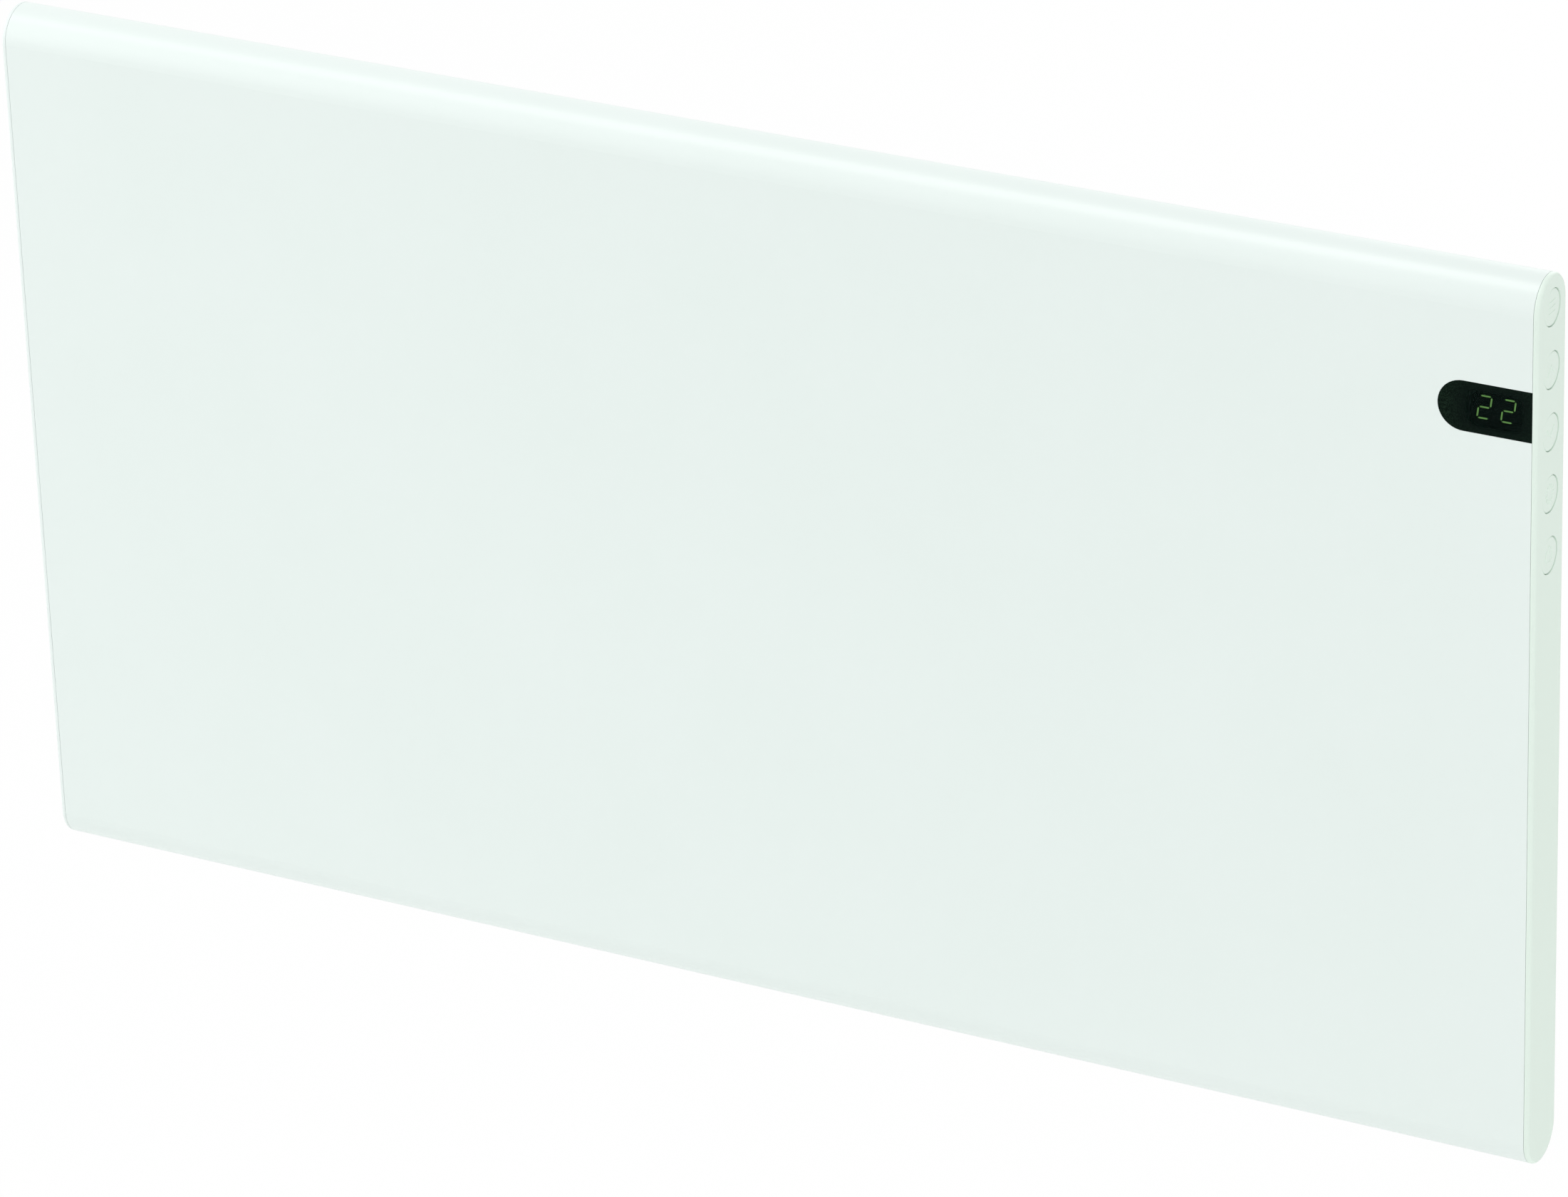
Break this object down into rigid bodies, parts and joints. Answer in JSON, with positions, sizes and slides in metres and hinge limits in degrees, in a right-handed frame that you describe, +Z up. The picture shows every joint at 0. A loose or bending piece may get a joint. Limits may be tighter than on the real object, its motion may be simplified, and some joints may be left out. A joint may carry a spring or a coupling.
{
  "type": "wall panel convector heater",
  "caption": "Slim white electric panel convector with pill-shaped edges, a dark display window and round side buttons, hanging on a steel wall bracket.",
  "frame": {"origin": "on the wall plane, at the middle of the bracket's four wall screws, level with the middle of the casing", "axes": "+Z up, +X to the right of someone who looks at the front, and the front faces -Y, away from the wall"},
  "size_m": [0.661, 0.084, 0.37],
  "materials": {
    "white_powder_coat": "satin white powder coat on sheet steel",
    "white_abs": "fine-grained moulded white ABS",
    "smoked_acrylic": "dark smoked acrylic window",
    "black_epoxy": "black moulding",
    "led_green": "lit green display segments",
    "led_unlit": "unlit display segments",
    "circuit_board": "green glass-epoxy board",
    "black_plastic": "black thermoset",
    "blue_plastic": "blue relay case",
    "core_steel": "varnished laminated core",
    "capacitor_sleeve": "shrunk plastic sleeve",
    "white_nylon": "natural white nylon",
    "element_aluminium": "mill-finish extrusion",
    "shield_aluminium": "bright rolled sheet",
    "ceramic": "unglazed steatite",
    "zinc_steel": "zinc-plated steel",
    "black_rubber": "black rubber",
    "rivet_aluminium": "blind rivets"
  },
  "bodies": {
    "wall_bracket": {"bracket_rail_left": "zinc_steel", "bracket_rail_right": "zinc_steel", "bracket_bar_top": "zinc_steel", "bracket_bar_bottom": "zinc_steel", "bracket_rivets": "rivet_aluminium"},
    "heater": {"front_panel": "white_powder_coat", "rear_panel": "white_powder_coat", "left_end_cap": "white_abs", "right_end_cap": "white_abs", "display_window": "smoked_acrylic", "digit_display": "black_epoxy", "lit_segments": "led_green", "dark_segments": "led_unlit", "display_board": "circuit_board", "button_board": "circuit_board", "tact_switches": "black_plastic", "power_board": "circuit_board", "board_standoffs": "zinc_steel", "board_screws": "zinc_steel", "relay": "blue_plastic", "transformer": "core_steel", "capacitor": "capacitor_sleeve", "terminal_block": "white_nylon", "heating_element": "element_aluminium", "element_plugs": "ceramic", "element_pins": "zinc_steel", "element_holder_left": "zinc_steel", "element_holder_right": "zinc_steel", "heat_shield": "shield_aluminium", "thermal_cutout": "black_plastic", "compartment_wall": "zinc_steel", "lead_grommet": "black_rubber", "room_sensor": "black_epoxy", "cable_gland": "white_nylon", "gland_lock_nut": "white_nylon", "panel_screws": "zinc_steel", "end_cap_screws": "zinc_steel"},
    "mode_button_body": {"mode_button": "white_abs"},
    "up_button_body": {"up_button": "white_abs"},
    "down_button_body": {"down_button": "white_abs"},
    "timer_button_body": {"timer_button": "white_abs"},
    "power_button_body": {"power_button": "white_abs"}
  },
  "joints": [
    {"name": "heater_lift", "type": "slide", "parent": "wall_bracket", "child": "heater", "axis": [0, 0, 1], "range_m": [0, 0.012]},
    {"name": "mode_press", "type": "slide", "parent": "heater", "child": "mode_button_body", "axis": [-1, 0, 0], "range_m": [0, 0.0005], "stiffness_N_per_m": 1500, "springref_m": -0.0005},
    {"name": "up_press", "type": "slide", "parent": "heater", "child": "up_button_body", "axis": [-1, 0, 0], "range_m": [0, 0.0005], "stiffness_N_per_m": 1500, "springref_m": -0.0005},
    {"name": "down_press", "type": "slide", "parent": "heater", "child": "down_button_body", "axis": [-1, 0, 0], "range_m": [0, 0.0005], "stiffness_N_per_m": 1500, "springref_m": -0.0005},
    {"name": "timer_press", "type": "slide", "parent": "heater", "child": "timer_button_body", "axis": [-1, 0, 0], "range_m": [0, 0.0005], "stiffness_N_per_m": 1500, "springref_m": -0.0005},
    {"name": "power_press", "type": "slide", "parent": "heater", "child": "power_button_body", "axis": [-1, 0, 0], "range_m": [0, 0.0005], "stiffness_N_per_m": 1500, "springref_m": -0.0005}
  ]
}
